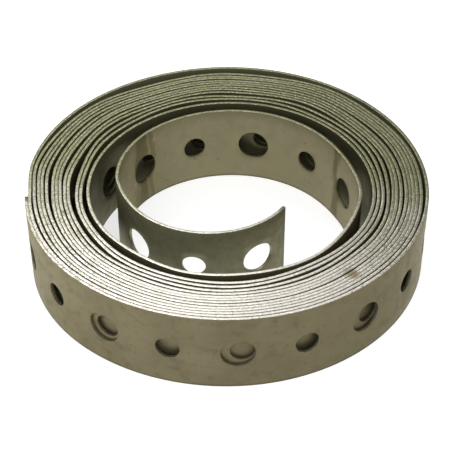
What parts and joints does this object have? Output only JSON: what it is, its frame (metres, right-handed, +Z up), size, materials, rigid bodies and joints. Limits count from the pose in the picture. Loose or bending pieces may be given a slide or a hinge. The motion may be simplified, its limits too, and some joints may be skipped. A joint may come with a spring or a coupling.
{
  "type": "hanger iron roll",
  "caption": "Flat roll of punched galvanised steel hanger strap, wound on edge, with a loose inner end and alternating large and small round holes along its middle.",
  "frame": {"origin": "under the middle of the roll, on the plane it lies on", "axes": "+Z up along the roll's axis; -Y towards the side the picture is taken from, where the outer end is hidden at -X"},
  "size_m": [0.0878, 0.0872, 0.0191],
  "materials": {
    "galvanised_steel": "dull weathered zinc, brighter on the sheared edges"
  },
  "bodies": {
    "root": {"strap": "galvanised_steel"}
  },
  "joints": []
}
